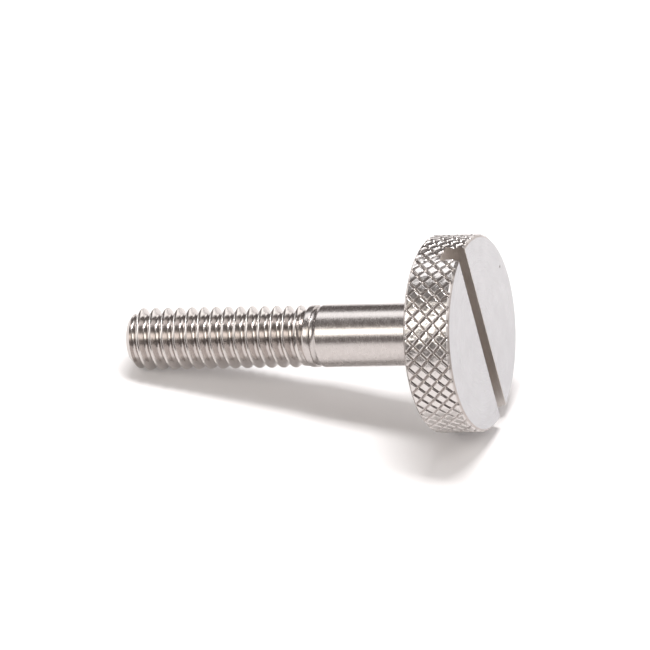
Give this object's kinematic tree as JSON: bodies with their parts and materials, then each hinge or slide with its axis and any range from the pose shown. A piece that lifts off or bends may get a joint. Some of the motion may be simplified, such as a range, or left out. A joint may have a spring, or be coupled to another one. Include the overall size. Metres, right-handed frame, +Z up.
{
  "type": "thumb screw",
  "caption": "One-piece turned thumb screw: wide thin diamond-knurled head with a driver slot, plain shank and right-hand machine thread, lying at rest.",
  "frame": {"origin": "middle of the bounding box in X and Y, on the surface that the screw lies on", "axes": "+X from the tip to the head, level; +Y across the screw; +Z up. The screw's own axis lies in the XZ plane and rises towards the head by the angle at which it rests."},
  "size_m": [0.0382, 0.0194, 0.0198],
  "materials": {
    "turned_steel": "bright turned stainless steel, finely polished on the shank and face, crisp on the knurl"
  },
  "bodies": {
    "root": {"thumb_screw": "turned_steel"}
  },
  "joints": []
}
